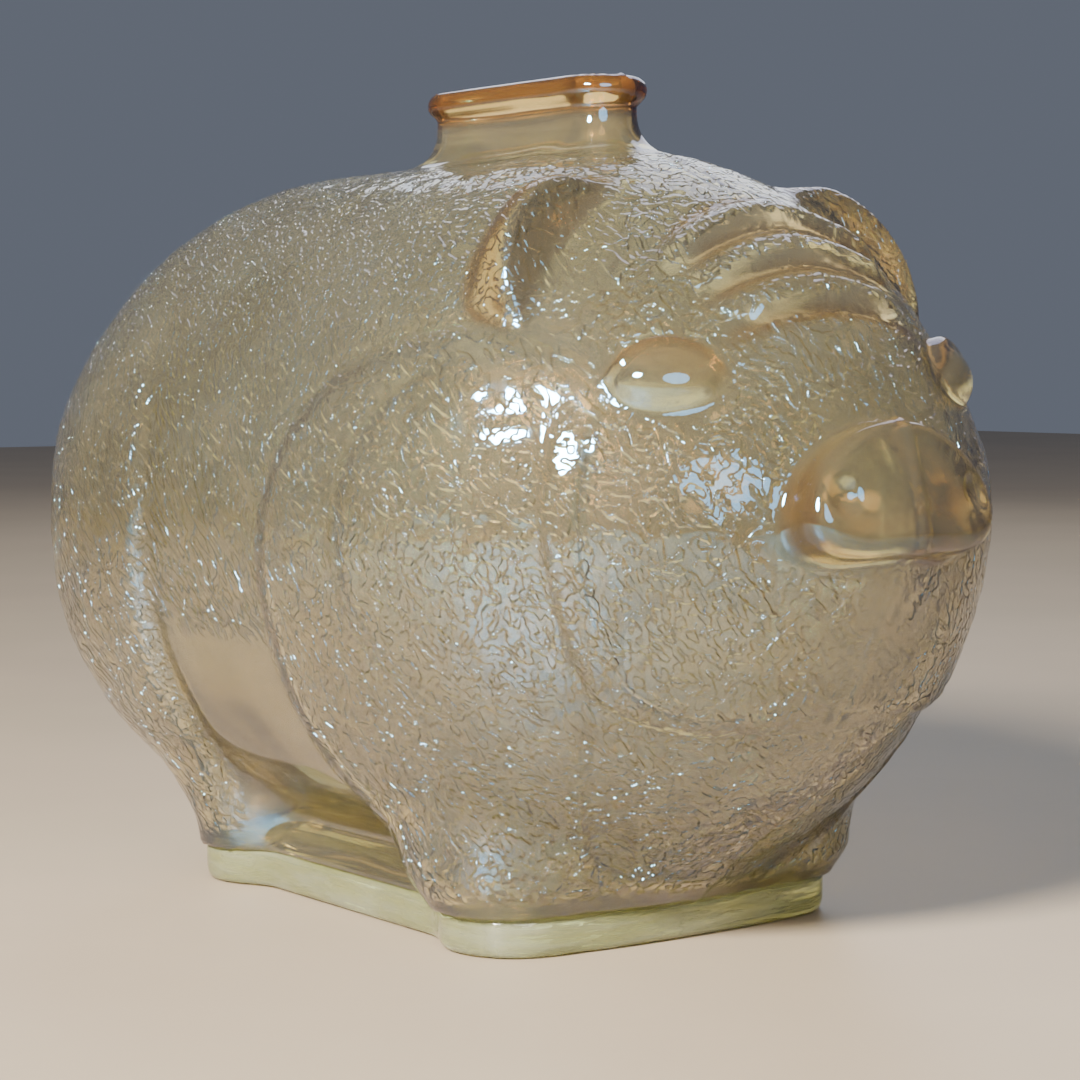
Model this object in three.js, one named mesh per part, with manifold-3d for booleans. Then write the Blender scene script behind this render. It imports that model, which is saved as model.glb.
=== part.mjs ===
// Pig-shaped glass coin bank, millimetres, +Z up. The pig faces -Y and its left side is +X.
// The origin is on the floor, under the middle of the model's box.
//
// The real bank is one piece of moulded glass. It is modelled as the three zones that glassmakers
// name, stacked on level planes with no gap:
//   base         the thick slab that it stands on
//   body_shell   the hollow body with legs, cheeks, ears and snout
//   neck_finish  the long narrow mouth with its rolled bead, where coins go in
import * as THREE from 'three';
import { mergeVertices } from 'three/addons/utils/BufferGeometryUtils.js';
import Module from 'manifold-3d';

const wasm = await Module();
wasm.setup();

// ---- driving dimensions ----
const LENGTH = 278;          // snout to rump
const WIDTH = 166;           // across the shoulders
const HEIGHT = 188;          // floor to the top of the bead
const BASE_THICKNESS = 8.5;  // solid slab under the cavity
const WALL = 3;              // glass of the body
const FOOT_WALL = 7;         // glass of the feet, where the cavity narrows down to the slab
const SLOT_LENGTH = 58;      // clear opening of the mouth, along the back
const SLOT_WIDTH = 10;       // clear opening of the mouth, across the back
const NECK_WALL = 3.3;       // glass of the mouth
const NECK_CORNER = 7.5;     // outer corner radius of the mouth
const NECK_HEIGHT = 15;      // shoulder plane to the top of the bead
const BEAD_DIAMETER = 6;     // rolled rim
const BEAD_PROUD = 2.4;      // how far the rim stands out of the neck
const FLARE_RADIUS = 9;      // sweep from the neck into the back
const FLARE_RISE = 5;        // how far the sweep climbs above the shoulder plane
const BASE_INSET = 1;        // how far the body stands back from the slab's edge

// ---- the sculpted form ----
// It is drawn at the sizes below, in the coordinates x (sideways), s (forward of the slab's front
// edge) and z (up), then stretched to the driving dimensions.
const DRAWN = { length: 278, width: 166, shoulder: 173 };
const SHOULDER_Z = HEIGHT - NECK_HEIGHT;
const stretch = new THREE.Vector3(
  WIDTH / DRAWN.width, LENGTH / DRAWN.length, SHOULDER_Z / DRAWN.shoulder);

const TRUNK = { rear: -117, front: -30, rearZ: 90, frontZ: 91, radius: 80, halfWidth: 78 };
const HEAD = { s: -7, z: 91, halfWidth: 62, radius: 70 };
const CHEEK = { x: 15, s: 8, z: 91, radius: 48 };
const JOWL = { x: 34, s: 44, z: 85, radius: 39, relief: 3.6, fadeUp: [95, 122], fadeIn: [4, 22] };
const MUZZLE = { backS: 28, backZ: 90, backRadius: 38, tipS: 52, tipZ: 92, tipRadius: 17 };
const SLAB = { middle: -61.5, halfLength: 66.5, halfWidth: 44.5, corner: 14, bow: 130, bowOut: 2 };
const STAND_TOP = 12;        // where the slab's outline gives way to the trunk
const ANKLE = { low: 2, high: 18, lowRadius: 12.5, splay: 2 };
const FEET = [
  { x: 36, s: -14, radius: 14 },
  { x: 36.5, s: -114, radius: 14 },
];
const FRONT_LEG = {
  top: [9, 79], topRadius: 51, foot: [-3, 2], footRadius: 20,
  relief: 5, growUp: [4, 16], fadeForward: [30, 60],
};
const HAUNCH = {
  top: [-162, 93], topRadius: 67, foot: [-120, 4], footRadius: 14,
  relief: 3.4, growUp: [4, 30], fadeUp: [105, 150],
  calfRelief: 1.8, calfGrowUp: [8, 40], calfFadeUp: [55, 95],
};
const SNOUT = { s: 74, z: 99.5, tilt: 0.25, halfWidth: 24.5, halfHeight: 15, depth: 12, round: 3 };
const NOSTRIL = { x: 18, s: 75.5, z: 100.5, radius: 5.2 };
const EYE = { x: 37.6, s: 35.8, z: 120.4, radius: 8 };
const EAR = { x: 43, s: 11, z: 141.5, halfSize: [17.5, 15, 19.5] };
const EAR_FACE = { point: [52, 13, 157], normal: [0.274, 0.887, 0.372] };
const NECK_S = -52.5;        // middle of the mouth
const INNER_RELIEF = 0.8;    // how much of the relief the cavity follows

// How far each pair of neighbouring shapes is blended where they meet.
const EASE = {
  slab: 6, stand: 5, ankle: 5, head: 12, foot: 14, haunch: 5, haunchEdge: 1.5, leg: 9, cheek: 4,
  jowl: 7, edge: 2, muzzle: 12, ground: 3,
};

const smooth = THREE.MathUtils.smoothstep;

// Smallest of two distances, blended over the reach k, and the largest in the same way.
function blend(a, b, k) {
  const h = Math.max(k - Math.abs(a - b), 0) / k;
  return Math.min(a, b) - h * h * k * 0.25;
}

function trim(a, b, k) {
  return -blend(-a, -b, k);
}

function ellipsoid(x, s, z, rx, rs, rz) {
  const near = Math.hypot(x / rx, s / rs, z / rz);
  const slope = Math.hypot(x / rx ** 2, s / rs ** 2, z / rz ** 2);
  return near * (near - 1) / Math.max(slope, 1e-6);
}

// Distance to a tapered bar between the points a and b, with radius ra at a and rb at b.
function bar(p, a, b, ra, rb) {
  const along = b.map((v, i) => v - a[i]);
  const from = p.map((v, i) => v - a[i]);
  const dot = along.reduce((sum, v, i) => sum + v * from[i], 0);
  const t = THREE.MathUtils.clamp(dot / along.reduce((sum, v) => sum + v * v, 0), 0, 1);
  return Math.hypot(...from.map((v, i) => v - t * along[i])) - ra - (rb - ra) * t;
}

// Flat distance to the outline that wraps two circles, used for the side view of a leg.
function legOutline(s, z, leg) {
  const [ds, dz] = [leg.foot[0] - leg.top[0], leg.foot[1] - leg.top[1]];
  const span = Math.hypot(ds, dz);
  const along = ((s - leg.top[0]) * ds + (z - leg.top[1]) * dz) / span;
  const across = Math.abs((z - leg.top[1]) * ds - (s - leg.top[0]) * dz) / span;
  const sine = (leg.topRadius - leg.footRadius) / span;
  const cosine = Math.sqrt(1 - sine * sine);
  const place = along * cosine - across * sine;
  if (place < 0) return Math.hypot(along, across) - leg.topRadius;
  if (place > span * cosine) return Math.hypot(along - span, across) - leg.footRadius;
  return along * sine + across * cosine - leg.topRadius;
}

// Flat distance to the slab's outline: straight flanks, a bowed front and four bulging feet.
function slabOutline(x, s) {
  const dx = Math.abs(x) - (SLAB.halfWidth - SLAB.corner);
  const ds = Math.abs(s - SLAB.middle) - (SLAB.halfLength - SLAB.corner);
  const outside = Math.hypot(Math.max(dx, 0), Math.max(ds, 0));
  const plain = outside + Math.min(Math.max(dx, ds), 0) - SLAB.corner;
  const front = SLAB.middle + SLAB.halfLength + SLAB.bowOut;
  let d = trim(plain, Math.hypot(x, s - front + SLAB.bow) - SLAB.bow, EASE.slab);
  for (const foot of FEET) {
    d = blend(d, Math.hypot(Math.abs(x) - foot.x, s - foot.s) - foot.radius, EASE.slab);
  }
  return d;
}

// Trunk and head standing on the slab, with no relief: the glass follows this inside.
function trunk(x, s, z) {
  const side = x * TRUNK.radius / TRUNK.halfWidth;
  const barrel = bar([side, s, z], [0, TRUNK.rear, TRUNK.rearZ], [0, TRUNK.front, TRUNK.frontZ],
    TRUNK.radius, TRUNK.radius);
  const head = ellipsoid(x, s - HEAD.s, z - HEAD.z, HEAD.halfWidth, HEAD.radius, HEAD.radius);
  let stand = trim(slabOutline(x, s) + BASE_INSET, z - STAND_TOP, EASE.stand);
  for (const foot of FEET) {
    const low = [foot.x, foot.s, ANKLE.low];
    const high = [foot.x + ANKLE.splay, foot.s, ANKLE.high];
    stand = blend(stand, bar([x, s, z], low, high, ANKLE.lowRadius, foot.radius), EASE.ankle);
  }
  return blend(blend(barrel, head, EASE.head), stand, EASE.foot);
}

// Keeps the body's foot inside the slab's edge, and lets it spread as it rises.
function slabLimit(x, s, z) {
  const slope = 1.5;
  return slabOutline(x, s) + BASE_INSET - slope * (z - BASE_THICKNESS / stretch.z);
}

// How far a raised zone stands out: it grows over one range and fades out over another.
const grow = (v, range) => smooth(v, ...range);
const fade = (v, range) => 1 - smooth(v, ...range);

// The body: the trunk with raised haunches, front legs, cheeks and muzzle. The cavity follows the
// same form with a lower relief.
function form(x0, s, z, relief) {
  const x = Math.abs(x0);
  const plain = trunk(x, s, z);
  const haunchRise = HAUNCH.relief * grow(z, HAUNCH.growUp) * fade(z, HAUNCH.fadeUp)
    + HAUNCH.calfRelief * grow(z, HAUNCH.calfGrowUp) * fade(z, HAUNCH.calfFadeUp);
  const haunch = trim(plain - relief * haunchRise, legOutline(s, z, HAUNCH), EASE.haunch);
  const legRise = FRONT_LEG.relief * grow(z, FRONT_LEG.growUp) * fade(s, FRONT_LEG.fadeForward);
  const leg = trim(plain - relief * legRise, legOutline(s, z, FRONT_LEG), EASE.leg);
  const cheek = Math.hypot(x - CHEEK.x, s - CHEEK.s, z - CHEEK.z) - CHEEK.radius;
  const face = blend(plain, cheek, EASE.cheek);
  const jowlRise = JOWL.relief * fade(z, JOWL.fadeUp) * grow(x, JOWL.fadeIn);
  const jowlBall = Math.hypot(x - JOWL.x, s - JOWL.s, z - JOWL.z) - JOWL.radius;
  const jowl = trim(face - relief * jowlRise, jowlBall, EASE.jowl);
  const muzzle = bar([x, s, z], [0, MUZZLE.backS, MUZZLE.backZ], [0, MUZZLE.tipS, MUZZLE.tipZ],
    MUZZLE.backRadius, MUZZLE.tipRadius);
  let d = blend(plain, haunch, EASE.haunchEdge);
  for (const raised of [leg, face, jowl]) d = blend(d, raised, EASE.edge);
  return trim(blend(d, muzzle, EASE.muzzle), slabLimit(x, s, z), EASE.ground);
}

const outside = (x, s, z) => form(x, s, z, 1);
const drawn = (thickness) => thickness / Math.min(stretch.x, stretch.y, stretch.z);
const inside = (x, s, z) => trim(
  form(x, s, z, INNER_RELIEF) + drawn(WALL), slabLimit(x, s, z) + drawn(FOOT_WALL), EASE.ground);

// ---- solids ----
// A three.js geometry as a solid: only positions, shared corners merged, slivers at poles dropped.
function solid(geometry) {
  const bare = geometry.clone();
  for (const name of Object.keys(bare.attributes)) if (name !== 'position') bare.deleteAttribute(name);
  const merged = mergeVertices(bare, 1e-4);
  const index = merged.index.array;
  const corners = [];
  for (let i = 0; i < index.length; i += 3) {
    const [a, b, c] = [index[i], index[i + 1], index[i + 2]];
    if (a !== b && b !== c && c !== a) corners.push(a, b, c);
  }
  const vertProperties = new Float32Array(merged.attributes.position.array);
  const triVerts = new Uint32Array(corners);
  return new wasm.Manifold(new wasm.Mesh({ numProp: 3, vertProperties, triVerts }));
}

function geometryOf(manifold) {
  const { vertProperties, triVerts } = manifold.getMesh();
  const geometry = new THREE.BufferGeometry();
  geometry.setAttribute('position', new THREE.BufferAttribute(vertProperties, 3));
  geometry.setIndex(new THREE.BufferAttribute(triVerts, 1));
  geometry.computeVertexNormals();
  return geometry;
}

// Puts a geometry drawn in x, -s, z at its real size.
function fit(geometry) {
  return geometry.scale(stretch.x, stretch.y, stretch.z);
}

// Moves outwards from the field's middle along a ray, or back, until the field's surface is met.
function reachOf(gapAt, limit) {
  let out = 20;
  for (let round = 0; round < 90; round++) {
    const gap = gapAt(out);
    out = Math.min(out - gap * 0.9, limit);
    if (Math.abs(gap) < 1e-6) break;
  }
  return out;
}

// A capsule along the body whose every vertex is pushed out to the field's surface. Below the
// floor it stops at a flat cut, which the slab's plane trims off later.
function skin(field, around, capRows, midRows) {
  const half = (TRUNK.front - TRUNK.rear) / 2;
  const middle = (TRUNK.front + TRUNK.rear) / 2;
  const centreZ = TRUNK.rearZ;
  const cutZ = -4;
  const capsule = new THREE.CapsuleGeometry(1, 2 * half, capRows, around, midRows);
  const place = capsule.attributes.position;
  for (let i = 0; i < place.count; i++) {
    const spine = THREE.MathUtils.clamp(place.getY(i), -half, half);
    const way = new THREE.Vector3(place.getX(i), place.getY(i) - spine, place.getZ(i)).normalize();
    const limit = way.z < 0 ? (cutZ - centreZ) / way.z : Infinity;
    const gapAt = (out) => field(way.x * out, middle - spine - way.y * out, centreZ + way.z * out);
    const out = reachOf(gapAt, limit);
    place.setXYZ(i, way.x * out, spine - middle + way.y * out, centreZ + way.z * out);
  }
  return solid(fit(capsule));
}

const MOUTH_STEPS = 32;

// A turned profile whose four quarters are pulled apart to the corners of the mouth. The profile
// gives how far each point stands out of the neck's outline, and its height.
function mouthRing(profile, closesOnAxis) {
  const points = profile.map(([out, z]) => new THREE.Vector2(NECK_CORNER + out, z));
  if (closesOnAxis) {
    points.unshift(new THREE.Vector2(0, profile[0][1]));
    points.push(new THREE.Vector2(0, profile.at(-1)[1]));
  } else {
    points.push(points[0].clone());
  }
  const ring = new THREE.LatheGeometry(points, MOUTH_STEPS).rotateX(Math.PI / 2);
  const apart = [SLOT_WIDTH / 2 + NECK_WALL - NECK_CORNER, SLOT_LENGTH / 2 + NECK_WALL - NECK_CORNER];
  const place = ring.attributes.position;
  const side = (v) => (Math.abs(v) < 1e-3 ? 0 : Math.sign(v));
  for (let i = 0; i < place.count; i++) {
    const [x, y] = [place.getX(i), place.getY(i)];
    place.setXY(i, x + side(x) * apart[0], y + side(y) * apart[1] - NECK_S * stretch.y);
  }
  return solid(ring);
}

// The sweep from the neck's upright wall down into the back, between two heights.
function flare(low, high, steps) {
  const top = SHOULDER_Z + FLARE_RISE;
  const points = [];
  for (let i = 0; i <= steps; i++) {
    const z = low + (high - low) * i / steps;
    const drop = Math.min(top - z, FLARE_RADIUS);
    points.push([FLARE_RADIUS - Math.sqrt(FLARE_RADIUS ** 2 - drop ** 2), z]);
  }
  return points;
}

// ---- base ----
function makeBase() {
  const corners = [];
  const count = 72;
  for (let i = 0; i < count; i++) {
    const angle = 2 * Math.PI * i / count;
    const [wayX, wayS] = [Math.cos(angle), Math.sin(angle)];
    const out = reachOf((r) => slabOutline(wayX * r, SLAB.middle + wayS * r), Infinity);
    corners.push(new THREE.Vector2(wayX * out * stretch.x, -(SLAB.middle + wayS * out) * stretch.y));
  }
  const outline = new THREE.Shape(corners);
  return new THREE.ExtrudeGeometry(outline, { depth: BASE_THICKNESS, bevelEnabled: false });
}

// ---- body shell ----
function makeSnout() {
  const outline = new THREE.Shape();
  outline.absellipse(0, 0, SNOUT.halfWidth - SNOUT.round, SNOUT.halfHeight - SNOUT.round, 0, 2 * Math.PI);
  const plate = new THREE.ExtrudeGeometry(outline, {
    depth: SNOUT.depth, curveSegments: 16,
    bevelSize: SNOUT.round, bevelThickness: SNOUT.round, bevelSegments: 2,
  });
  plate.translate(0, 0, -SNOUT.depth - SNOUT.round);
  plate.rotateX(Math.PI / 2 - SNOUT.tilt);
  return solid(fit(plate.translate(0, -SNOUT.s, SNOUT.z)));
}

function ball(at, halfSize, across, up) {
  const geometry = new THREE.SphereGeometry(1, across, up);
  geometry.scale(...halfSize).translate(at[0], -at[1], at[2]);
  return solid(fit(geometry));
}

// A thick half-leaf: an egg cut flat in front.
function makeEar(side) {
  const egg = ball([side * EAR.x, EAR.s, EAR.z], EAR.halfSize, 24, 16);
  const [nx, ns, nz] = EAR_FACE.normal;
  const [px, ps, pz] = EAR_FACE.point;
  const normal = new THREE.Vector3(side * nx, -ns, nz).normalize();
  const size = 5 * Math.max(...EAR.halfSize);
  const block = new THREE.BoxGeometry(size, size, size).translate(0, 0, size / 2);
  block.applyQuaternion(new THREE.Quaternion().setFromUnitVectors(new THREE.Vector3(0, 0, 1), normal));
  return egg.subtract(solid(fit(block.translate(side * px, -ps, pz))));
}

function makeShell() {
  const collarOverlap = 15;
  const collarTop = SHOULDER_Z + 2;
  const collarFoot = SHOULDER_Z + FLARE_RISE - FLARE_RADIUS;
  const sweep = flare(collarFoot, collarTop, 8);
  const collar = mouthRing([[FLARE_RADIUS, collarFoot - collarOverlap], ...sweep], true);
  let outer = skin(outside, 72, 14, 12).add(collar).add(makeSnout());
  for (const side of [-1, 1]) {
    const eye = ball([side * EYE.x, EYE.s, EYE.z], Array(3).fill(EYE.radius), 16, 12);
    const nostril = ball([side * NOSTRIL.x, NOSTRIL.s, NOSTRIL.z], Array(3).fill(NOSTRIL.radius), 14, 10);
    outer = outer.add(makeEar(side)).add(eye).subtract(nostril);
  }
  const reach = 2 * LENGTH;
  const band = new THREE.BoxGeometry(reach, reach, SHOULDER_Z - BASE_THICKNESS);
  band.translate(0, 0, (SHOULDER_Z + BASE_THICKNESS) / 2);
  const slotFoot = SHOULDER_Z - 10 * WALL;
  const slot = mouthRing([[-NECK_WALL, slotFoot], [-NECK_WALL, 2 * HEIGHT]], true);
  return outer.intersect(solid(band)).subtract(skin(inside, 56, 10, 6)).subtract(slot);
}

// ---- neck finish ----
function makeNeck() {
  const r = BEAD_DIAMETER / 2;
  const beadOut = BEAD_PROUD - r;
  const beadZ = HEIGHT - r;
  const profile = [[-NECK_WALL, SHOULDER_Z], ...flare(SHOULDER_Z, SHOULDER_Z + FLARE_RISE, 4)];
  const from = -Math.acos(-beadOut / r);
  const to = Math.acos(-(NECK_WALL + beadOut) / r);
  const steps = 10;
  for (let i = 0; i <= steps; i++) {
    const angle = from + (to - from) * i / steps;
    profile.push([beadOut + r * Math.cos(angle), beadZ + r * Math.sin(angle)]);
  }
  return mouthRing(profile, false);
}

// ---- assembly ----
const strawGlass = new THREE.MeshStandardMaterial({
  color: 0xb9ac7c, roughness: 0.12, metalness: 0.0, transparent: true, opacity: 0.55 });
const greenGlass = new THREE.MeshStandardMaterial({
  color: 0xc3c48c, roughness: 0.08, metalness: 0.0, transparent: true, opacity: 0.6 });
const amberGlass = new THREE.MeshStandardMaterial({
  color: 0xc08a48, roughness: 0.06, metalness: 0.0, transparent: true, opacity: 0.6 });

const pig = new THREE.Group();
function addNode(name, geometry, material) {
  const mesh = new THREE.Mesh(geometry, material);
  mesh.name = name;
  pig.add(mesh);
}
addNode('base', makeBase(), greenGlass);
addNode('body_shell', geometryOf(makeShell()), strawGlass);
addNode('neck_finish', geometryOf(makeNeck()), amberGlass);

const box = new THREE.Box3().setFromObject(pig);
pig.position.y = -(box.min.y + box.max.y) / 2;

export default pig;
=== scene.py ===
import math

import bpy
import numpy as np
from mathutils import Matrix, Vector


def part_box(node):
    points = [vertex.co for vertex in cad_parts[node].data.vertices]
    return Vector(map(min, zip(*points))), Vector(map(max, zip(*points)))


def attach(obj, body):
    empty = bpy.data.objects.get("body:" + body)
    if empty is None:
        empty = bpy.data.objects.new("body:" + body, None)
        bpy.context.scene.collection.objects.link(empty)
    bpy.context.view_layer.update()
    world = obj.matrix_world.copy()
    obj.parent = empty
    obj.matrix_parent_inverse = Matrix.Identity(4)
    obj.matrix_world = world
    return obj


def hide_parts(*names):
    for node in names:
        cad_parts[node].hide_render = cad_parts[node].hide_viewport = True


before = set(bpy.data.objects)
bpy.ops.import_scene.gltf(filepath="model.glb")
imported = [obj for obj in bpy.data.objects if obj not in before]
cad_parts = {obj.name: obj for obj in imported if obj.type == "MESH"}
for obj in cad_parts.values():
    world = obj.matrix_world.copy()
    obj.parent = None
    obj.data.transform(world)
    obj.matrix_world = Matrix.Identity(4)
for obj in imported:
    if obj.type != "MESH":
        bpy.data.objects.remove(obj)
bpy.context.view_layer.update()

# A pig-shaped glass coin bank. The frame's three zones are one casting: the slab it stands on, the
# hollow body, and the neck with its rolled bead. The form is a distance field in millimetres, drawn
# in x (sideways), s (forward of the slab's front edge) and z (up), and meshed finely here.
MM = 0.001


def mm_box(name):
    low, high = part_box(name)
    return np.array(low) / MM, np.array(high) / MM


BASE_BOX, SHELL_BOX, NECK_BOX = (mm_box(n) for n in ("base", "body_shell", "neck_finish"))
BASE_Z = float(BASE_BOX[1][2])             # top of the slab, foot of the body
TOP_Z = float(NECK_BOX[1][2])              # top of the bead
NECK_S = -52.5                             # middle of the mouth
SHIFT = float(NECK_BOX[0][1] + NECK_BOX[1][1]) / 2 + NECK_S   # frame y of the drawn s = 0
WALL = 3.0
SLAB_GAP = 0.06                            # keeps the slab and the body from sharing a face
FINE = 1.2                                 # pitch of the lattice that the field is meshed on
FEET = [(36, -14), (36.5, -114)]
EYE = (38.0, 42.9, 121.7)
EYE_OUT = np.array([0.5, 0.775, 0.39]) / np.linalg.norm([0.5, 0.775, 0.39])
EYE_SIDE = np.array([-0.84, 0.543, 0.0])
EYE_UP = np.cross(EYE_OUT, EYE_SIDE) * np.sign(np.cross(EYE_OUT, EYE_SIDE)[2])


# ---- distances in drawn millimetres: x sideways, s forward of the slab's front edge, z up ----
def blend(a, b, reach):
    """The nearer of two distances, eased over the reach."""
    h = np.maximum(reach - np.abs(a - b), 0) / reach
    return np.minimum(a, b) - h * h * reach / 4


def trim(a, b, reach):
    return -blend(-a, -b, reach)


def grow(value, low, high):
    """Rises smoothly from 0 to 1 between low and high; falls where low is the larger."""
    t = np.clip((value - low) / (high - low), 0, 1)
    return t * t * (3 - 2 * t)


def band(value, width):
    return np.exp(-(value / width) ** 2)


def ball(x, s, z, at, radius):
    return np.sqrt((x - at[0]) ** 2 + (s - at[1]) ** 2 + (z - at[2]) ** 2) - radius


def egg(x, s, z, at, half):
    a, b, c = (x - at[0]) / half[0], (s - at[1]) / half[1], (z - at[2]) / half[2]
    near = np.sqrt(a * a + b * b + c * c)
    slope = np.sqrt((a / half[0]) ** 2 + (b / half[1]) ** 2 + (c / half[2]) ** 2)
    return near * (near - 1) / np.maximum(slope, 1e-6)


def bar(x, s, z, a, b, ra, rb):
    along = [b[i] - a[i] for i in range(3)]
    span = sum(v * v for v in along)
    t = ((x - a[0]) * along[0] + (s - a[1]) * along[1] + (z - a[2]) * along[2]) / span
    t = np.clip(t, 0, 1)
    return ball(x - t * along[0], s - t * along[1], z - t * along[2], a, 0) - ra - (rb - ra) * t


def leg_outline(s, z, top, top_radius, foot, foot_radius):
    """Flat distance to the outline that wraps two circles, seen from the side."""
    ds, dz = foot[0] - top[0], foot[1] - top[1]
    span = np.hypot(ds, dz)
    along = ((s - top[0]) * ds + (z - top[1]) * dz) / span
    across = np.abs((z - top[1]) * ds - (s - top[0]) * dz) / span
    sine = (top_radius - foot_radius) / span
    cosine = np.sqrt(1 - sine * sine)
    place = along * cosine - across * sine
    side = along * sine + across * cosine - top_radius
    lower = np.hypot(along - span, across) - foot_radius
    return np.where(place < 0, np.hypot(along, across) - top_radius,
                    np.where(place > span * cosine, lower, side))


def slab_outline(x, s):
    """Flat distance to the slab's edge: straight flanks, a bowed front, four bulging feet."""
    dx, ds = x - 30.5, np.abs(s + 61.5) - 52.5
    outer = np.hypot(np.maximum(dx, 0), np.maximum(ds, 0))
    plain = outer + np.minimum(np.maximum(dx, ds), 0) - 14
    d = trim(plain, np.hypot(x, s + 123) - 130, 6)
    for foot_x, foot_s in FEET:
        d = blend(d, np.hypot(x - foot_x, s - foot_s) - 14, 6)
    return d


def trunk(x, s, z):
    barrel = bar(x * 80 / 78, s, z, (0, -117, 90), (0, -33, 91), 80, 80)
    head = egg(x, s, z, (0, -7, 91), (62, 70, 70))
    stand = trim(slab_outline(x, s) + 1, z - 12, 5)
    for foot_x, foot_s in FEET:
        ankle = bar(x, s, z, (foot_x, foot_s, 2), (foot_x + 1.5, foot_s, 18), 12.5, 13.5)
        stand = blend(stand, ankle, 5)
    return blend(blend(barrel, head, 19), stand, 14)


def haunch_edge(s, z):
    return leg_outline(s, z, (-162, 93), 67, (-120, 4), 14)


def leg_edge(s, z):
    upper = leg_outline(s, z, (9, 79), 54, (-2, 44), 41)
    lower = leg_outline(s, z, (-2, 44), 41, (-3, 2), 22)
    return np.minimum(upper, lower)


def shoulder_edge(s, z):
    """A second arc inside the front leg's outline."""
    return np.hypot(s - 28, z - 90) - 40.5


def jowl_edge(s, z):
    """The cheek's outline seen from the side: an upright edge that turns forward at its foot."""
    back, down = 41.5 + 0.05 * (114 - z) - s, 62 - z
    corner = np.hypot(np.maximum(back, 0), np.maximum(down, 0))
    return corner + np.minimum(np.maximum(back, down), 0) - 11


def snout_plane(x, s, z):
    """Height over the snout's face and the place up it. The face folds a little at the middle."""
    c, n = np.cos(0.25), np.sin(0.25)
    return (s - 74) * c + (z - 99.5) * n + 0.12 * x, (z - 99.5) * c - (s - 74) * n


def snout(x, s, z):
    out, up = snout_plane(x, s, z)
    rim = (np.sqrt((x / 24.3) ** 2 + ((up + 3.6) / 19.3) ** 2) - 1) * 19.3
    plate = trim(rim, -up - 11.6, 8)
    plate = trim(plate, out - 0.5, 5)
    return trim(plate, -out - 13, 3)


def nostril(x, s, z):
    return ball(x, s, z, (18.0, 75.5, 100.5), 5.2)


def eye_frame(x, s, z):
    dx, ds, dz = x - EYE[0], s - EYE[1], z - EYE[2]
    return [dx * v[0] + ds * v[1] + dz * v[2] for v in (EYE_SIDE, EYE_UP, EYE_OUT)]


def ear_face(s, z):
    """Height over the flat front of the ear, which leans back a little."""
    return 0.93 * (s - 12.5) + 0.30 * (z - 150)


def ear_body(x, s, z):
    lobe = egg(x, s, z, (40.5, 8.5, 135.5), (17.5, 16, 24.5))
    crown = bar(x, s, z, (34.5, 4, 150.5), (18, 0, 151.5), 13, 11)
    return blend(lobe, crown, 5)


def brow_turn(x, s, z):
    """Counts 0 to 3 down across the three rolls of the forehead."""
    angle = np.degrees(np.arctan2(z - 91, s + 7))
    bend = np.clip(0.0098 - (65.4 - angle) * 0.00024, 0.003, 0.012)
    return (65.4 - (angle + bend * x * x)) / 9.27


def brow(x, s, z):
    """Three rolls across the forehead, between four valleys."""
    turn = brow_turn(x, s, z)
    roll = np.abs(np.sin(np.pi * np.clip(turn, 0, 3)))
    roll = np.where((turn > 0) & (turn < 3), roll, 0)
    return 2.5 * roll * grow(x, 34 - 3.5 * turn, 24 - 3.5 * turn) * (s > 0)


def mouth(x, s, half_x, half_s, corner):
    dx = np.maximum(x - (half_x - corner), 0)
    ds = np.maximum(np.abs(s - NECK_S) - (half_s - corner), 0)
    return np.sqrt(dx * dx + ds * ds) - corner


def form(x, s, z, relief=1.0):
    """Trunk with raised haunches, front legs, cheeks and muzzle."""
    plain = trunk(x, s, z)
    rise = 3.4 * grow(z, 4, 30) * grow(z, 150, 105) + 1.8 * grow(z, 95, 55) * grow(z, 8, 40)
    haunch = trim(plain - relief * rise, haunch_edge(s, z), 5)
    rise = 5.0 * grow(z, 4, 16) * grow(s, 48, 4)
    rise = rise - 1.0 * grow(s - x, -22.5, -19.5) * grow(z, 56, 48) * grow(z, 6, 16)
    rise = rise + 1.2 * grow(shoulder_edge(s, z), 1.5, -1.5) * grow(z, 134, 118) * grow(z, 46, 84)
    leg = trim(plain - relief * rise, leg_edge(s, z), 6)
    face = blend(plain, egg(x, s, z, (14, 8, 93), (49, 49, 42)), 4)
    muzzle = bar(x, s, z, (0, 28, 90), (0, 52, 92), 38, 17)
    d = blend(plain, haunch, 1.5)
    d = blend(d, leg, 2)
    d = blend(d, face, 3)
    d = blend(d, muzzle, 12)
    rise = 1.9 * grow(z, 124, 102) * grow(x, 6, 28)
    jowl = trim(d - relief * rise, jowl_edge(s, z), 3)
    return blend(d, jowl, 1)


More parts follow.
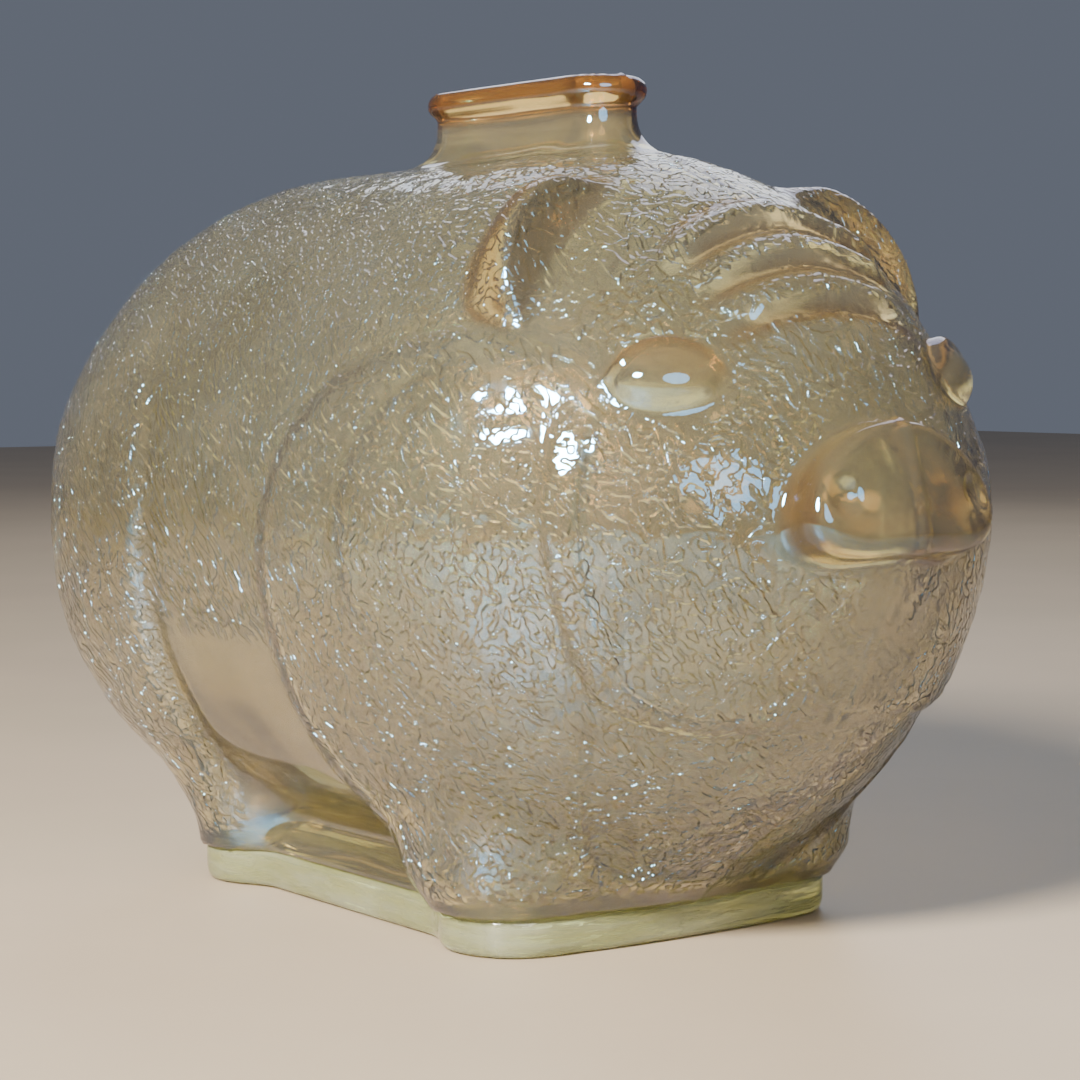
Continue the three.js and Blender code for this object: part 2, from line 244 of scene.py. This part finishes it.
def outer(side, s, z):
    x = np.abs(side)
    d = form(x, s, z) - brow(x, s, z)
    d = blend(d, snout(x, s, z), 2)
    d = trim(d, -nostril(x, s, z), 0.8)
    a, b, c = eye_frame(x, s, z)
    lens = (np.sqrt((a / 11) ** 2 + (b / 7) ** 2 + ((c + 0.5) / 5.5) ** 2) - 1) * 5.5
    d = blend(d, lens, 1.5)
    lid = np.hypot(b - (7.0 - a * a / 22), (c - (1.6 - (a * a + b * b) / 150)) * 0.8)
    lid = lid - 1.7 * grow(np.abs(a), 13, 8)
    d = blend(d, np.where(np.abs(a) < 13, lid, 99.0), 1.5)
    ear = trim(ear_body(x, s, z), ear_face(s, z), 1.2)
    d = blend(d, ear, 2)
    neck = np.maximum(np.maximum(mouth(x, s, 8.3, 32.4, 7.5), z - 186), 100 - z)
    d = blend(d, neck, 9)
    ring = np.hypot(mouth(x, s, 7.7, 31.8, 7.2), z - 185) - 3.0
    d = blend(d, ring, 0.8)
    return np.maximum(d, BASE_Z - z)


def cavity(x, s, z):
    """The smooth inside, its throat up through the neck, and its rounded mouth."""
    hollow = form(x, s, z, 0.75) + WALL
    foot = slab_outline(x, s) + 8 - 1.5 * (z - BASE_Z)
    hollow = trim(hollow, foot, 4)
    throat = np.maximum(mouth(x, s, 5, 29, 4.2), 150 - z)
    hollow = blend(hollow, throat, 9)
    waves = np.sin(x / 9.1 + z / 13.7) + np.sin(s / 11.3 - z / 10.9 + 1.3) + np.sin((s + x) / 7.7)
    return hollow + 0.09 * waves * grow(z, 168, 150)


def glass(side, s, z):
    x = np.abs(side)
    return trim(outer(side, s, z), -cavity(x, s, z), 2.2)


def slab(side, s, z):
    x = np.abs(side)
    flank = slab_outline(x, s) + 0.5 * grow(z, 3, 0)
    rim = trim(flank, z - (BASE_Z - SLAB_GAP), 1.2)
    return trim(rim, -z, 1.0)


# ---- meshing ----
def lattice_values(field, axes, block=8):
    """The field on a lattice, worked out finely only in the blocks that the surface may cross."""
    xs, ss, zs = axes
    pitch = xs[1] - xs[0]
    far = np.float32(4 * pitch)
    shape = tuple(len(a) for a in axes)
    values = np.empty(shape, np.float32)
    reach = pitch * block
    starts = [np.arange(0, n, block) for n in shape]
    centres = [a[np.minimum(i + block // 2, len(a) - 1)] for a, i in zip(axes, starts)]
    cx, cs, cz = np.meshgrid(*centres, indexing="ij")
    coarse = field(cx, cs, cz)
    near = np.abs(coarse) < reach * 0.9 + 1.5    # a corner is 0.87 of a block from its middle
    for i, x0 in enumerate(starts[0]):
        for j, s0 in enumerate(starts[1]):
            row = near[i, j]
            cut = (slice(x0, x0 + block), slice(s0, s0 + block))
            fill = np.where(coarse[i, j] < 0, -far, far)
            values[cut] = np.repeat(fill, block)[:shape[2]]
            if not row.any():
                continue
            wanted = np.repeat(row, block)[:shape[2]]
            k = np.flatnonzero(wanted)
            gx, gs, gz = np.meshgrid(xs[cut[0]], ss[cut[1]], zs[k], indexing="ij")
            part = values[cut]
            part[:, :, k] = field(gx, gs, gz)
    return values


def surface_net(values, axes):
    """One vertex in each lattice cell that the surface crosses, one quad round each crossed edge."""
    pitch = axes[0][1] - axes[0][0]
    inside = values < 0
    cells = tuple(n - 1 for n in values.shape)
    count = np.zeros(cells, np.uint8)
    corners = [(a, b, c) for a in (0, 1) for b in (0, 1) for c in (0, 1)]
    for a, b, c in corners:
        count += inside[a:a + cells[0], b:b + cells[1], c:c + cells[2]]
    active = np.argwhere((count > 0) & (count < 8))
    number = np.full(cells, -1, np.int32)
    number[tuple(active.T)] = np.arange(len(active))
    total = np.zeros((len(active), 3))
    hits = np.zeros(len(active))
    for axis in range(3):
        step = np.eye(3, dtype=int)[axis]
        for corner in corners:
            if corner[axis]:
                continue
            low = active + corner
            high = low + step
            a, b = values[tuple(low.T)], values[tuple(high.T)]
            crossed = (a < 0) != (b < 0)
            t = np.where(crossed, a / np.where(crossed, a - b, 1), 0)
            total += (low + t[:, None] * step) * crossed[:, None]
            hits += crossed
    points = total / hits[:, None] * pitch + np.array([a[0] for a in axes])
    quads = []
    for axis in range(3):
        u, v = [k for k in range(3) if k != axis]
        step = np.eye(3, dtype=int)
        shape = list(values.shape)
        shape[axis] -= 1
        cut = [slice(None)] * 3
        cut[axis] = slice(0, shape[axis])
        first = inside[tuple(cut)]
        cut[axis] = slice(1, None)
        second = inside[tuple(cut)]
        edges = np.argwhere(first != second)
        edges = edges[(edges[:, u] > 0) & (edges[:, v] > 0)]
        edges = edges[(edges[:, u] < cells[u]) & (edges[:, v] < cells[v])]
        ring = [edges, edges - step[u], edges - step[u] - step[v], edges - step[v]]
        quad = np.stack([number[tuple(r.T)] for r in ring], 1)
        outward = first[tuple(edges.T)] == (axis != 1)
        quads.append(np.where(outward[:, None], quad, quad[:, ::-1]))
    return points, np.concatenate(quads)


def slope_of(field, points, reach=0.2):
    slope = np.empty_like(points)
    for axis in range(3):
        step = np.zeros(3)
        step[axis] = reach
        slope[:, axis] = field(*(points + step).T) - field(*(points - step).T)
    return slope / (2 * reach)


def settle(field, points, quads, rounds=2):
    """Evens the quads out along the surface and puts every vertex exactly on it."""
    count = np.bincount(quads.ravel(), minlength=len(points)).astype(float)
    for _ in range(rounds):
        middle = points[quads].mean(axis=1)
        mean = np.empty_like(points)
        for axis in range(3):
            weights = np.repeat(middle[:, axis], 4)
            mean[:, axis] = np.bincount(quads.ravel(), weights=weights, minlength=len(points)) / count
        points = points + 0.6 * (mean - points)
        slope = slope_of(field, points)
        gap = field(*points.T)
        points = points - (gap / np.maximum((slope ** 2).sum(axis=1), 0.2))[:, None] * slope
    normal = slope_of(field, points)
    return points, normal / np.linalg.norm(normal, axis=1, keepdims=True)


def mesh_of(field, low, high, pitch):
    """A closed quad mesh of the field, even about the middle plane."""
    half = int(np.ceil(high[0] / pitch)) + 2
    xs = (np.arange(2 * half) - half + 0.5) * pitch
    ss = np.arange(low[1] - 2 * pitch, high[1] + 3 * pitch, pitch)
    zs = np.arange(low[2] - 2.4 * pitch, high[2] + 3 * pitch, pitch)
    right = lattice_values(field, (xs[half:], ss, zs))
    values = np.concatenate([right[::-1], right])
    points, quads = surface_net(values, (xs, ss, zs))
    points, normals = settle(field, points, quads)
    return points, quads, normals


# ---- where the glass is plain, stippled or amber ----
def stippled(side, s, z):
    """1 where the outside is covered in short strokes, 0 where it is plain."""
    x = np.abs(side)
    marks = grow(z, BASE_Z + 2.5, BASE_Z + 8)
    marks = marks * (1 - 0.9 * band(leg_edge(s, z) + 1.6, 1.7))
    marks = marks * (1 - 0.8 * band(haunch_edge(s, z) + 1.4, 1.8))
    marks = marks * (1 - 0.9 * band(jowl_edge(s, z) + 1.0, 1.4) * grow(z, 124, 112))
    marks = marks * (1 - 0.8 * band(shoulder_edge(s, z), 1.6) * grow(z, 62, 80) * grow(z, 130, 118))
    belly = grow(leg_edge(s, z), 0, 2) * grow(haunch_edge(s, z), 0, 2) * grow(z, 72, 62)
    marks = marks * (1 - belly * grow(s, -4, -10))
    marks = marks * (1 - grow(mouth(x, s, 8.3, 32.4, 7.5), 17, 7) * grow(z, 150, 158))
    marks = marks * grow(snout(x, s, z), 0.6, 3.0)
    marks = marks * (1 - 0.9 * grow(ball(x, s, z, (0, 57, 80), 10), 3, 0))
    a, b, c = eye_frame(x, s, z)
    marks = marks * grow(np.sqrt((a / 14) ** 2 + (b / 10) ** 2 + (c / 12) ** 2), 0.85, 1.15)
    ear = grow(ear_body(x, s, z), 2.5, 0.5)
    marks = marks * (1 - 0.75 * ear)
    turn = brow_turn(x, s, z)
    crest = np.abs((turn % 1) - 0.42)
    rolls = grow(turn, -0.12, 0.02) * grow(turn, 3.12, 2.98) * (s > 0) * grow(x, 32, 24)
    return marks * (1 - rolls * grow(crest, 0.1, 0.26))


def amber_lustre_and_shade(side, s, z):
    """How deep the amber lustre lies: deepest on the bead, the ears and the snout's rim; painted shade in
    the brow's valleys.
    """
    x = np.abs(side)
    bead = grow(z, 178.5, 181.5)
    out, _ = snout_plane(x, s, z)
    rim = grow(snout(x, s, z), 1.5, 0.3) * grow(out, -0.4, -2.5) * grow(out, -13, -8)
    rim = rim * (0.2 + 0.8 * grow(x, 17, 24))
    ear = grow(ear_body(x, s, z), 2.0, 0.4) * grow(ear_face(s, z), -0.6, -3.0) * grow(x, 18, 30)
    a, b, c = eye_frame(x, s, z)
    lid = band(b - (7.0 - a * a / 22), 1.8) * grow(np.abs(a), 14, 10) * grow(np.abs(c), 8, 4)
    turn = brow_turn(x, s, z)
    # Painted shade: amber darkens the valleys between the brow rolls.
    painted_brow_shade = band((turn + 0.5) % 1 - 0.5, 0.16) * (turn > -0.3) * (turn < 3.3) * (s > 0) * grow(x, 30, 20)
    return np.clip(bead + 0.6 * rim + 0.6 * ear + 0.5 * lid + 0.6 * painted_brow_shade, 0, 1)


def hammered(points, cell=4.6):
    """Smooth value noise on the lattice of the given cell, from a hashed grid. It runs from -1 to 1."""
    place = points / cell + 100
    low = np.floor(place).astype(np.int64)
    t = place - low
    t = t * t * (3 - 2 * t)
    total = np.zeros(len(points))
    for a in (0, 1):
        for b in (0, 1):
            for c in (0, 1):
                spot = low + np.array([a, b, c])
                hashed = (spot[:, 0] * 73856093) ^ (spot[:, 1] * 19349663) ^ (spot[:, 2] * 83492791)
                hashed = (hashed ^ (hashed >> 13)) * 1274126177 & 0xFFFF
                weight = np.abs(np.array([a, b, c]) - 1 + t).prod(axis=1)
                total += hashed / 0x7FFF * weight - weight
    return total


def to_frame(points):
    """Drawn millimetres to the frame's metres. It mirrors, so the quads are turned round as well."""
    return np.stack([points[:, 0], SHIFT - points[:, 1], points[:, 2]], 1) * MM


def add_piece(name, points, quads, attributes, material, slot, *nodes):
    mesh = bpy.data.meshes.new(name)
    mesh.vertices.add(len(points))
    mesh.vertices.foreach_set("co", to_frame(points).astype(np.float32).ravel())
    mesh.loops.add(quads.size)
    mesh.loops.foreach_set("vertex_index", quads[:, ::-1].astype(np.int32).ravel())
    mesh.polygons.add(len(quads))
    mesh.polygons.foreach_set("loop_start", np.arange(0, quads.size, 4, dtype=np.int32))
    mesh.update(calc_edges=True)
    mesh.polygons.foreach_set("use_smooth", np.ones(len(quads), bool))
    for key, values in attributes.items():
        layer = mesh.attributes.new(key, "FLOAT", "POINT")
        layer.data.foreach_set("value", values.astype(np.float32))
    mesh.validate()
    piece = bpy.data.objects.new(name, mesh)
    bpy.context.scene.collection.objects.link(piece)
    mesh.materials.append(material)
    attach(piece, "root")
    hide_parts(*nodes)
    return piece


# ---- materials ----
class Nodes:
    """Short calls for building a node tree."""

    def __init__(self, material):
        material.use_nodes = True
        self.tree = material.node_tree
        self.tree.nodes.clear()

    def add(self, kind, inputs=None, **settings):
        node = self.tree.nodes.new(kind)
        for key, value in settings.items():
            setattr(node, key, value)
        for key, value in (inputs or {}).items():
            if isinstance(value, bpy.types.NodeSocket):
                self.tree.links.new(value, node.inputs[key])
            else:
                node.inputs[key].default_value = value
        return node

    def maths(self, operation, a, b):
        return self.add("ShaderNodeMath", {0: a, 1: b}, operation=operation).outputs[0]

    def vector(self, operation, a, b):
        return self.add("ShaderNodeVectorMath", {0: a, 1: b}, operation=operation).outputs[0]

    def attribute(self, name):
        return self.add("ShaderNodeAttribute", attribute_name=name).outputs["Fac"]

    def noise(self, place, scale, detail=2.0, roughness=0.5):
        return self.add("ShaderNodeTexNoise", {
            "Vector": place, "Scale": scale, "Detail": detail, "Roughness": roughness})

    def ramp(self, value, low, high, out_low=0.0, out_high=1.0):
        return self.add("ShaderNodeMapRange", {
            "Value": value, "From Min": low, "From Max": high, "To Min": out_low, "To Max": out_high},
            interpolation_type="SMOOTHSTEP").outputs["Result"]

    def mix(self, amount, a, b):
        node = self.add("ShaderNodeMix", data_type="RGBA")
        for key, value in (("Factor", amount), ("A", a), ("B", b)):
            socket = next(i for i in node.inputs if i.name == key and i.enabled)
            if isinstance(value, bpy.types.NodeSocket):
                self.tree.links.new(value, socket)
            else:
                socket.default_value = value
        return next(o for o in node.outputs if o.enabled)


def grain(n, place, turn, fineness):
    """Noise drawn out along one direction, which turn brings upright."""
    turned = n.add("ShaderNodeVectorRotate", {"Vector": place, "Rotation": turn}, rotation_type="EULER_XYZ")
    flat = n.vector("MULTIPLY", turned.outputs[0], (1.0, 1.0, 0.34))
    return n.noise(flat, fineness, 0.0).outputs["Fac"]


def strokes(n, place):
    """Short worm-like strokes. They lean one way on the flanks and every way on the face."""
    first = grain(n, place, (0.75, 0.0, 0.0), 680.0)
    second = grain(n, place, (-0.6, 0.9, 0.0), 620.0)
    patch = n.noise(place, 170.0, 0.0).outputs["Fac"]
    forward = n.add("ShaderNodeSeparateXYZ", {0: place}).outputs["Y"]
    patch = n.maths("ADD", patch, n.ramp(forward, -0.05, 0.04, 0.0, -0.14))
    mixed = n.add("ShaderNodeMix", {"Factor": n.ramp(patch, 0.44, 0.56), "A": first, "B": second})
    return n.ramp(mixed.outputs[0], 0.43, 0.60)


def body_material():
    """Straw glass under a thin lustre, deeper amber where the attribute says so, which also lays painted
    shade in the brow's valleys.
    """
    material = bpy.data.materials.new("straw_lustre_glass")
    n = Nodes(material)
    place = n.add("ShaderNodeTexCoord").outputs["Object"]
    marks = n.attribute("stipple")
    amber = n.attribute("amber")
    patches = n.noise(place, 22.0, 2.0).outputs["Fac"]
    straw = n.mix(n.ramp(patches, 0.35, 0.65), (0.76, 0.71, 0.48, 1), (0.86, 0.82, 0.62, 1))
    colour = n.mix(amber, straw, (0.66, 0.31, 0.06, 1))
    height = n.maths("MULTIPLY", strokes(n, place), marks)
    bump = n.add("ShaderNodeBump", {"Strength": 1.0, "Distance": 0.0009, "Height": height})
    cloudy = n.ramp(n.attribute("skin"), 0.0, 1.0, 0.12, 0.0)
    rough = n.maths("ADD", n.ramp(patches, 0.3, 0.8, 0.02, 0.06), cloudy)
    glass_node = n.add("ShaderNodeBsdfPrincipled", {
        "Base Color": colour, "Roughness": rough, "IOR": 1.52, "Transmission Weight": 0.97,
        "Normal": bump.outputs[0], "Thin Film Thickness": 185.0, "Thin Film IOR": 1.8})
    tint = n.add("ShaderNodeVolumeAbsorption", {"Color": (0.86, 0.76, 0.34, 1), "Density": 90.0})
    n.add("ShaderNodeOutputMaterial", {
        "Surface": glass_node.outputs[0], "Volume": tint.outputs[0]})
    return material


def slab_material():
    """Thick pale green glass with flow streaks along it."""
    material = bpy.data.materials.new("pale_green_glass")
    n = Nodes(material)
    place = n.add("ShaderNodeTexCoord").outputs["Object"]
    flow = n.vector("MULTIPLY", place, (1.0, 1.0, 6.0))
    streaks = n.noise(flow, 55.0, 3.0).outputs["Fac"]
    colour = n.mix(n.ramp(streaks, 0.35, 0.7), (0.78, 0.79, 0.36, 1), (0.90, 0.92, 0.58, 1))
    bump = n.add("ShaderNodeBump", {"Strength": 1.0, "Distance": 0.0004, "Height": streaks})
    rough = n.ramp(streaks, 0.3, 0.8, 0.02, 0.08)
    glass_node = n.add("ShaderNodeBsdfPrincipled", {
        "Base Color": colour, "Roughness": rough, "IOR": 1.52, "Transmission Weight": 0.86,
        "Normal": bump.outputs[0]})
    tint = n.add("ShaderNodeVolumeAbsorption", {"Color": (0.85, 0.87, 0.55, 1), "Density": 7.0})
    n.add("ShaderNodeOutputMaterial", {
        "Surface": glass_node.outputs[0], "Volume": tint.outputs[0]})
    return material


# ---- pieces ----
def make_bank():
    low = np.array([0, SHIFT - SHELL_BOX[1][1] - 4, BASE_Z])
    high = np.array([SHELL_BOX[1][0] + 3, SHIFT - SHELL_BOX[0][1] + 4, TOP_Z])
    points, quads, normals = mesh_of(glass, low, high, FINE)
    skin = grow(cavity(np.abs(points[:, 0]), points[:, 1], points[:, 2]), 0.6, 1.4)
    marks = stippled(*points.T) * skin
    # The amber value holds the lustre and the painted shade in the brow's valleys.
    amber = amber_lustre_and_shade(*points.T) * skin
    # Millimetres of relief: a hammered outside, a wavy inside and the seam of the two mould halves.
    waves = 0.20 * hammered(points, 3.2) * marks + 0.45 * hammered(points, 13.0) * (1 - skin)
    seam = 0.45 * band(points[:, 0], 0.6) * skin
    points = points + normals * (waves + seam)[:, None]
    add_piece("bank_glass", points, quads, {"stipple": marks, "amber": amber, "skin": skin},
              body_material(), "body_glass", "body_shell", "neck_finish")


def make_slab():
    low = np.array([0, SHIFT - BASE_BOX[1][1] - 2, 0.0])
    high = np.array([BASE_BOX[1][0] + 2, SHIFT - BASE_BOX[0][1] + 2, BASE_Z])
    points, quads, _ = mesh_of(slab, low, high, FINE)
    add_piece("base_slab", points, quads, {}, slab_material(), "base_glass", "base")


# ---- stage, light and camera ----
def plain_material(name, colour, roughness):
    material = bpy.data.materials.new(name)
    n = Nodes(material)
    place = n.add("ShaderNodeTexCoord").outputs["Object"]
    mottle = n.noise(place, 6.0, 5.0, 0.6).outputs["Fac"]
    dim = tuple(c * 0.93 for c in colour[:3]) + (1,)
    shade = n.mix(n.ramp(mottle, 0.3, 0.7), dim, colour)
    surface = n.add("ShaderNodeBsdfPrincipled", {"Base Color": shade, "Roughness": roughness})
    n.add("ShaderNodeOutputMaterial", {"Surface": surface.outputs[0]})
    return material


def make_stage():
    bpy.ops.mesh.primitive_plane_add(size=6.0, location=(0, 0, -0.0003))
    floor = bpy.context.object
    floor.name = "floor"
    floor.data.materials.append(plain_material("pale_floor", (0.34, 0.27, 0.19, 1), 0.45))


def add_light(name, place, size, watts, colour):
    data = bpy.data.lights.new(name, "AREA")
    data.shape = "DISK"
    data.size = size
    data.energy = watts
    data.color = colour
    light = bpy.data.objects.new(name, data)
    light.location = place
    aim = Vector((0, 0, 0.09)) - Vector(place)
    light.rotation_euler = aim.to_track_quat("-Z", "Y").to_euler()
    bpy.context.scene.collection.objects.link(light)


def make_world():
    """A dim blue-grey room."""
    world = bpy.data.worlds.new("soft_room")
    bpy.context.scene.world = world
    world.use_nodes = True
    back = world.node_tree.nodes["Background"]
    back.inputs["Color"].default_value = (0.20, 0.225, 0.285, 1)
    back.inputs["Strength"].default_value = 0.62


def make_camera():
    """Looks from the pig's front right, as the photo does, from a little over half a metre away."""
    data = bpy.data.cameras.new("camera")
    data.lens = 90.63
    data.sensor_width = 36.0
    data.clip_start = 0.01
    camera = bpy.data.objects.new("camera", data)
    camera.location = (-0.37206, SHIFT * MM - 0.45536, 0.12596)
    camera.rotation_euler = (math.radians(90 - 3.85), 0, math.radians(-36.35))
    bpy.context.scene.collection.objects.link(camera)
    bpy.context.scene.camera = camera


make_camera()
make_world()
make_stage()
add_light("key", (-1.15, -0.55, 0.80), 0.34, 130, (1.0, 0.96, 0.90))
add_light("window", (0.9, 0.9, 1.0), 1.2, 8, (0.86, 0.92, 1.0))
add_light("front", (-0.5, -1.6, 0.7), 0.9, 14, (0.93, 0.95, 1.0))
make_bank()
make_slab()
